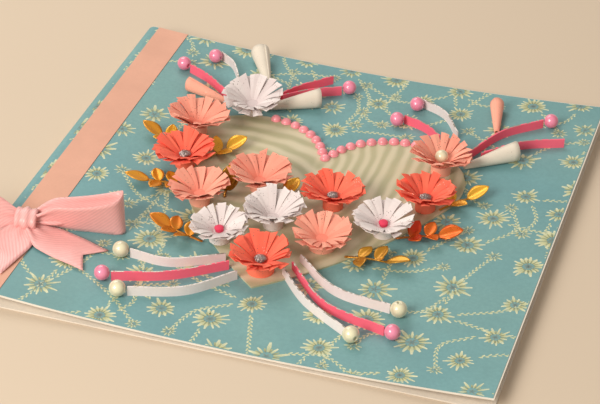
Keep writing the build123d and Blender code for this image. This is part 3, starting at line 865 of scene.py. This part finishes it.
def paper_cone(name, x, y, heading, radius, length, finish, slot):
    """Paper rolled into a cone: its free edge overlaps and its mouth is cut a little askew."""
    draw = random.Random(name)
    turn = math.radians(heading)
    centre = (x + length / 2 * math.cos(turn), y + length / 2 * math.sin(turn))
    tip_radius = 0.7
    steps, levels = 40, 10
    lean = math.atan2(radius - tip_radius, length)
    place = (cover_frame(centre[0] * MM, centre[1] * MM, 0.0, heading)
             @ Matrix.Translation((-length / 2 * MM, 0, (radius * math.cos(lean) + 0.05) * MM))
             @ Matrix.Rotation(lean, 4, "Y") @ Matrix.Rotation(math.pi / 2, 4, "Y"))
    bm = bmesh.new()
    rows = grid(bm, levels, steps)
    seam = draw.uniform(0.6, 2.4)
    mouth = radius - 0.1
    for r, row in enumerate(rows):
        angle = seam + r / steps * 1.3 * TAU
        inward = 0.28 * (1 - r / steps)
        for c, vert in enumerate(row):
            along = c / levels
            askew = 0.5 * math.cos(angle) * (1 - along)
            reach = mouth + (tip_radius - mouth) * along ** 1.12 - inward * (1 - 0.6 * along)
            vert.co = place @ Vector((reach * MM * math.cos(angle), reach * MM * math.sin(angle),
                                      (along * length + 0.5 * (1 - along) + askew) * MM))
    finish_piece(name + "_rolled", bm, finish, [name], thickness=0.22 * MM, recalc=False)


def foil_leaf(bm, draw, place, length, width, lift, red, dull):
    """Pointed leaf creased along its middle, its tip curling up."""
    rows = grid(bm, 6, 9)
    crease = draw.uniform(0.1, 0.22)
    roll = draw.uniform(-0.15, 0.35)
    for r, row in enumerate(rows):
        along = r / 9
        half = width / 2 * max(0.07, math.sin(math.pi * min(1.0, along ** 0.9)) ** 0.72)
        for c, vert in enumerate(row):
            side = (c - 3) / 3
            rise = (lift * along ** 1.6 + crease * width * abs(side) * math.sin(math.pi * along)
                    + roll * half * side)
            vert.co = place @ Vector((along * length, side * half, rise))
    mark(bm, rows, "red", lambda u, v: red)
    mark(bm, rows, "dull", lambda u, v: dull)


# Foil sprigs, in millimetres: end leaf, widths of the other leaves, where pairs grow on the stem
END_LEAF = (7.4, 4.8)
SIDE_LEAF_WIDTH = 3.8
UPRIGHT_LEAF_WIDTH = 3.6
LEAF_PAIRS = (4.2, 9.0)
STEM_HALF_WIDTH = 0.38


def leaf_sprig(name, x, y, heading, stem, red, dull, finish):
    """Sprig of foil leaves: one at the end, pairs along the stem, and one sprig turned up on end."""
    draw = random.Random(name)
    bm = blank("red", "dull")
    root = cover_frame(x * MM, y * MM, 0.7 * MM, heading)
    arch = draw.uniform(0.5, 1.2)

    def stem_point(distance):
        share = distance / (stem + 0.01)
        return Vector((distance * MM, 0.25 * math.sin(3 * share) * MM, arch * math.sin(1.5 * share) * MM))

    rows = grid(bm, 2, 10)
    for r, row in enumerate(rows):
        for c, vert in enumerate(row):
            vert.co = root @ (stem_point(stem * r / 10) + Vector((0, (c - 1) * STEM_HALF_WIDTH * MM, 0)))
    mark(bm, rows, "red", lambda u, v: red)
    mark(bm, rows, "dull", lambda u, v: 0.7)

    def tints():
        return [min(1.0, max(0.0, tint + draw.uniform(-0.16, 0.16))) for tint in (red, dull)]

    spot = Matrix.Translation(stem_point(stem - 0.6))
    upright = name == "leaf_sprig_5"
    foil_leaf(bm, draw, root @ spot @ Matrix.Rotation(-0.9 if upright else -0.12, 4, "Y"),
              END_LEAF[0] * MM, END_LEAF[1] * MM, draw.uniform(0.4, 1.6) * MM, *tints())
    for place in LEAF_PAIRS:
        if place < stem - 1.5:
            for side in (-1, 1):
                turn = Matrix.Rotation(math.radians(side * draw.uniform(58, 72)), 4, "Z")
                tip_up = Matrix.Rotation(-draw.uniform(0.05, 0.35), 4, "Y")
                foil_leaf(bm, draw, root @ Matrix.Translation(stem_point(place)) @ turn @ tip_up,
                          draw.uniform(5.2, 6.0) * MM, SIDE_LEAF_WIDTH * MM,
                          draw.uniform(0.2, 1.2) * MM, *tints())
    if upright:
        for turn, length in ((70, 5.6), (-60, 5.2)):
            foil_leaf(bm, draw, root @ spot @ Matrix.Rotation(math.radians(turn), 4, "Z")
                      @ Matrix.Rotation(-0.7, 4, "Y"), length * MM, UPRIGHT_LEAF_WIDTH * MM,
                      0.4 * MM, *tints())
    finish_piece(name + "_foil", bm, finish, [name], thickness=0.2 * MM, recalc=False)


# Bow, in millimetres: its knot on the band, how far left a loop and a tail still follow the cover,
# the ribbon's mesh, a loop's length, and how narrow and in how many folds it is at the knot
KNOT = (-67.1, -44.0)
FOLD_X = -73.0
PAPER_EDGE_X = -74.5
RIBBON_STRIPS = 10
LOOP_STEPS = 66
TAIL_STEPS = 24
LOOP_LENGTH = 27
GATHERED = 0.34
FOLDS = 2.5 * math.pi


def ribbon_run(bm, cloth, rungs):
    """Ribbon over rungs of centre, width direction, half width, pleat depth and pleat way."""
    rows = grid(bm, RIBBON_STRIPS, len(rungs) - 1)
    length = 0.0
    before = None
    for row, (centre, width, half, pleat, way) in zip(rows, rungs):
        if before is not None:
            length += (centre - before).length
        before = centre
        for c, vert in enumerate(row):
            side = 2 * c / RIBBON_STRIPS - 1
            vert.co = centre + width * (half * side) + way * (pleat * math.cos(FOLDS * side))
            rest = cover_point(max(FOLD_X * MM, vert.co.x), vert.co.y, 0.35 * MM).z
            vert.co.z = max(vert.co.z, rest)
            vert[cloth] = (side * sizes().ribbon_width / 2, length, 0.0)


def bow_loop(bm, cloth, heading, lean_front, lean_back, depth, height, lift, pinch):
    """Loop of ribbon from the knot and back; its return can be lifted and gathered narrower."""
    size = sizes()
    turn = math.radians(heading)
    start = cover_frame(KNOT[0] * MM, KNOT[1] * MM, 2.9 * MM).translation
    way = Vector((math.cos(turn), math.sin(turn), 0))
    end = start + way * (LOOP_LENGTH * MM)
    end.z = cover_point(max(FOLD_X * MM, end.x), end.y).z + height * MM
    along = (end - start).normalized()
    d = depth
    path = through([(1.0, 0.5, 0), (7, 1.2, 0), (14, 2.4 * d, 0), (21, 3.1 * d, 0), (25.4, 3.0 * d, 0),
                    (27.2, 1.4 * d, 0), (27.4, -1.4 * d, 0), (25.8, -3.0 * d, 0), (20, -2.9 * d, 0),
                    (13, -1.9 * d, 0), (6, -0.9, 0), (1.0, -0.5, 0)], LOOP_STEPS)
    rungs = []
    for number, spot in enumerate(path):
        share = smooth(number / LOOP_STEPS)
        back = math.sin(math.pi * min(1.0, max(0.0, number / LOOP_STEPS - 0.55) / 0.45))
        lean = math.radians(lean_front + (lean_back - lean_front) * share)
        width = Vector((0, math.cos(lean), math.sin(lean)))
        width = (width - along * width.dot(along)).normalized()
        normal = along.cross(width)
        opened = smooth((spot.x - 1.0) / 8.5)
        half = size.ribbon_width / 2 * (GATHERED + (1 - GATHERED) * opened) * (1 - pinch * back)
        pleat = 0.75 * MM * (1 - opened * (1 - pinch * back))
        centre = start + along * spot.x * MM + normal * spot.y * MM + Vector((0, 0, lift * back * MM))
        rungs.append((centre, width, half, pleat, normal))
    ribbon_run(bm, cloth, rungs)


def bow_tail(bm, cloth, points, notch, wave):
    """Tail on the cover: points of its middle line from the knot, with a swallow-tail end."""
    size = sizes()
    line = through([(*p, 0.0) for p in points], TAIL_STEPS)
    rows = grid(bm, RIBBON_STRIPS, TAIL_STEPS)
    halfway = TAIL_STEPS / 2
    length = 0.0
    for r, row in enumerate(rows):
        ahead = (line[min(r + 1, TAIL_STEPS)] - line[max(r - 1, 0)]).normalized()
        side_way = Vector((-ahead.y, ahead.x, 0))
        opened = smooth(r / 9)
        half = size.ribbon_width / 2 * (GATHERED + (1 - GATHERED) * opened)
        length += (line[r] - line[max(r - 1, 0)]).length * MM
        for c, vert in enumerate(row):
            side = 2 * c / RIBBON_STRIPS - 1
            back = notch * (1 - abs(side)) * smooth((r - halfway) / halfway)
            spot = (line[r] - ahead * back) * MM + side_way * side * half
            rise = (0.55 + wave * (math.sin(0.42 * r + 0.9 * side) + 1) * smooth(r / 6)
                    + 1.6 * (1 - smooth(r / 7)) + 0.55 * (1 - opened) * math.cos(FOLDS * side))
            spot = spot + Vector((KNOT[0], KNOT[1], 0)) * MM
            vert.co = cover_point(max(spot.x, PAPER_EDGE_X * MM), spot.y, rise * MM)
            vert.co.x = spot.x
            vert[cloth] = (side * size.ribbon_width / 2, length, 0.0)


def bow_knot(bm, cloth, heading):
    """The ribbon's turn round the middle of the bow."""
    place = cover_frame(KNOT[0] * MM, KNOT[1] * MM, 3.0 * MM, heading)
    half_length, half_width, half_height = 3.1 * MM, 3.6 * MM, 2.5 * MM
    count = 36
    rows = grid(bm, RIBBON_STRIPS, count)
    for r, row in enumerate(rows):
        angle = r / count * 1.08 * TAU
        for c, vert in enumerate(row):
            side = 2 * c / RIBBON_STRIPS - 1
            swell = 1 + 0.1 * math.cos(FOLDS * side) - 0.16 * side * side + 0.05 * r / count
            vert.co = place @ Vector((side * half_length, half_width * swell * math.sin(angle),
                                      half_height * swell * math.cos(angle)))
            vert[cloth] = (side * sizes().ribbon_width / 2, angle * half_length, 0.0)


def ribbon_bow():
    """The whole bow in one piece of satin: two loops, two tails and the turn round them."""
    bm = bmesh.new()
    cloth = bm.verts.layers.float_vector.new("cloth_place")
    bow_loop(bm, cloth, 22, 113, 38, 1.1, 5.6, 2.6, 0.42)
    bow_loop(bm, cloth, 201, 38, 62, 0.9, 6.0, 0.0, 0.0)
    bow_tail(bm, cloth, [(1, -1), (8, -3.2), (16, -5.6), (24.2, -7.7)], 4.4, 0.16)
    bow_tail(bm, cloth, [(-0.5, -1), (-0.6, -7.5), (-1.6, -15), (-3.1, -22.5)], 4.2, 0.14)
    bow_knot(bm, cloth, 14)
    flat = bm.loops.layers.uv.new("cloth")
    for face in bm.faces:
        for corner in face.loops:
            corner[flat].uv = corner.vert[cloth].xy
    piece = finish_piece("satin_bow", bm, satin_finish(), ["ribbon_bow"], thickness=0.22 * MM,
                         recalc=False)


# ---------------------------------------------------------------- operators

# Stage, in metres: the floor's half width and level, then the lamps by name, place, width, power
# and colour
FLOOR_HALF_WIDTH = 4.0
FLOOR_LEVEL = -0.00005
LAMPS = (
    ("key", (-0.27, -0.62, 0.46), 0.36, 5.4, (1.0, 0.95, 0.88)),
    ("back", (-0.32, 0.34, 0.46), 0.4, 1.6, (1.0, 0.97, 0.93)),
)
# Camera: place in metres; pan, tip and roll in degrees; lens and sensor width in camera millimetres
CAMERA_SPOT = (0.14949, -0.49637, 0.34607)
CAMERA_TURNS = ((16.737, "Z"), (56.27, "X"), (1.41, "Z"))
LENS = 127.8
SENSOR_WIDTH = 36.0


class CardOperator:
    bl_options = {"REGISTER"}

    def execute(self, context):
        self.make()
        return {"FINISHED"}


class CARD_OT_stage(CardOperator, bpy.types.Operator):
    """Floor, lamps and camera"""
    bl_idname = "card.stage"
    bl_label = "Stage"

    def make(self):
        scene = bpy.context.scene
        bm = bmesh.new()
        bmesh.ops.create_grid(bm, x_segments=1, y_segments=1, size=FLOOR_HALF_WIDTH)
        bmesh.ops.translate(bm, vec=(0, 0, FLOOR_LEVEL), verts=bm.verts)
        mesh = bpy.data.meshes.new("floor")
        bm.to_mesh(mesh)
        bm.free()
        floor = bpy.data.objects.new("floor", mesh)
        scene.collection.objects.link(floor)
        made = Finish("pale floor", Roughness=0.9)
        made.give("Base Color", colours().floor)
        mesh.materials.append(made.material)
        for name, spot, width, power, tint in LAMPS:
            lamp = bpy.data.lights.new(name, "AREA")
            lamp.size = width
            lamp.energy = power
            lamp.color = tint
            light = bpy.data.objects.new(name, lamp)
            light.location = spot
            light.rotation_euler = (-Vector(spot)).to_track_quat("-Z", "Y").to_euler()
            scene.collection.objects.link(light)
        world = bpy.data.worlds.new("fill")
        scene.world = world
        world.use_nodes = True
        fill = world.node_tree.nodes["Background"]
        fill.inputs["Color"].default_value = (1.0, 0.93, 0.84, 1.0)
        fill.inputs["Strength"].default_value = 0.46
        lens = bpy.data.cameras.new("camera")
        lens.sensor_width = SENSOR_WIDTH
        lens.lens = LENS
        camera = bpy.data.objects.new("camera", lens)
        place = Matrix.Translation(CAMERA_SPOT)
        for angle, axis in CAMERA_TURNS:
            place = place @ Matrix.Rotation(math.radians(angle), 4, axis)
        camera.matrix_world = place
        scene.collection.objects.link(camera)
        scene.camera = camera
        scene.view_settings.view_transform = "Standard"


class CARD_OT_leaves(CardOperator, bpy.types.Operator):
    """Finishes of the two leaves, the printed panel, the band and the heart"""
    bl_idname = "card.leaves"
    bl_label = "Card, panel, band and heart"

    def make(self):
        tint = colours()
        repaint("folded_card", paper_finish("white card", tint.card).material)
        repaint("printed_panel", printed_finish())
        repaint("spine_band", paper_finish("salmon band paper", tint.band).material)
        repaint("heart", marbled_finish())


class CARD_OT_pattern(CardOperator, bpy.types.Operator):
    """Printed daisies and vines"""
    bl_idname = "card.pattern"
    bl_label = "Printed pattern"

    def make(self):
        printed_pattern()


class CARD_OT_trim(CardOperator, bpy.types.Operator):
    """Half beads along the heart"""
    bl_idname = "card.trim"
    bl_label = "Heart beads"

    def make(self):
        half_beads()


class CARD_OT_flowers(CardOperator, bpy.types.Operator):
    """Fringed paper flowers"""
    bl_idname = "card.flowers"
    bl_label = "Flowers"

    def make(self):
        tint = colours()
        # The second colour of each is the deeper tone that petals vary towards at random, and also the
        # painted shade at a petal's foot and in the cup.
        finishes = {
            "white": petal_finish("white fringed paper", tint.white, paint(196, 178, 178)),
            "salmon": petal_finish("salmon fringed paper", tint.salmon, paint(226, 112, 92)),
            "coral": petal_finish("coral fringed paper", tint.coral, paint(236, 66, 52)),
        }
        for name, *place in FLOWERS:
            family = name.split("_")[0]
            flower(name, *place, finishes[family], family + "_fringe")


class CARD_OT_centres(CardOperator, bpy.types.Operator):
    """Rolls and beads glued in the middle of some flowers"""
    bl_idname = "card.centres"
    bl_label = "Flower centres"

    def make(self):
        finishes = {
            "roll": paper_finish("crimson rolled paper", paint(222, 60, 92)).material,
            "silver": silver_finish(),
            "pearl": pearl_finish("small white pearl", colours().white_pearl),
        }
        for kind, finish in finishes.items():
            bm = blank("tone", "reach")
            for name, own, radius in CENTRES:
                if own == kind:
                    flower_centre(bm, name, kind, radius)
            finish_piece("flower_centres_" + kind, bm, finish, ["flower_centre_beads"],
                         rounded=kind != "silver", thickness=0.2 * MM if kind == "roll" else 0.0,
                         recalc=kind != "roll")


class CARD_OT_pearls(CardOperator, bpy.types.Operator):
    """Drilled pearl beads"""
    bl_idname = "card.pearls"
    bl_label = "Pearls"

    def make(self):
        finishes = {"pink": pearl_finish("pink pearl lacquer", colours().pink_pearl),
                    "white": pearl_finish("white pearl lacquer", colours().white_pearl)}
        for name, heading in PEARLS:
            family = name.split("_")[0]
            drilled_pearl(name, heading, finishes[family])


class CARD_OT_strips(CardOperator, bpy.types.Operator):
    """Paper strips standing on edge"""
    bl_idname = "card.strips"
    bl_label = "Strips"

    def make(self):
        finishes = {"pink": strip_finish("pink strip paper", colours().pink),
                    "white": strip_finish("white strip paper", colours().white)}
        for name, *points in STRIPS:
            family = name.split("_")[0]
            paper_strip(name, *points, finishes[family], family + "_paper")


class CARD_OT_cones(CardOperator, bpy.types.Operator):
    """Rolled paper cones"""
    bl_idname = "card.cones"
    bl_label = "Cones"

    def make(self):
        tint = colours()
        finishes = {"white": paper_finish("white cone paper", tint.cone, specks=0.08).material,
                    "salmon": paper_finish("salmon cone paper", tint.salmon, specks=0.1).material}
        for name, *place in CONES:
            family = name.split("_")[0]
            paper_cone(name, *place, finishes[family], family + "_paper")


class CARD_OT_sprigs(CardOperator, bpy.types.Operator):
    """Foil leaf sprigs"""
    bl_idname = "card.sprigs"
    bl_label = "Leaf sprigs"

    def make(self):
        finish = foil_finish()
        for name, *place in SPRIGS:
            leaf_sprig(name, *place, finish)


class CARD_OT_bow(CardOperator, bpy.types.Operator):
    """Satin ribbon bow"""
    bl_idname = "card.bow"
    bl_label = "Ribbon bow"

    def make(self):
        ribbon_bow()


OPERATORS = (CARD_OT_stage, CARD_OT_leaves, CARD_OT_pattern, CARD_OT_trim, CARD_OT_flowers,
             CARD_OT_centres, CARD_OT_pearls, CARD_OT_strips, CARD_OT_cones, CARD_OT_sprigs, CARD_OT_bow)


class CARD_PT_panel(bpy.types.Panel):
    """Lists the card's pieces, sizes and colours"""
    bl_idname = "CARD_PT_panel"
    bl_label = "Greeting card"
    bl_space_type = "VIEW_3D"
    bl_region_type = "UI"
    bl_category = "Card"

    def draw(self, context):
        for operator in OPERATORS:
            self.layout.operator(operator.bl_idname)
        for group in (context.scene.card_sizes, context.scene.card_colours):
            box = self.layout.box()
            for name in group.bl_rna.properties.keys():
                if name not in ("name", "rna_type"):
                    box.prop(group, name)


CLASSES = (CardSizes, CardColours, *OPERATORS, CARD_PT_panel)


def register():
    for item in CLASSES:
        bpy.utils.register_class(item)
    bpy.types.Scene.card_sizes = PointerProperty(type=CardSizes)
    bpy.types.Scene.card_colours = PointerProperty(type=CardColours)


def unregister():
    del bpy.types.Scene.card_colours
    del bpy.types.Scene.card_sizes
    for item in reversed(CLASSES):
        bpy.utils.unregister_class(item)


def main():
    register()
    for operator in OPERATORS:
        group, name = operator.bl_idname.split(".")
        getattr(getattr(bpy.ops, group), name)()


if __name__ == "__main__":
    main()
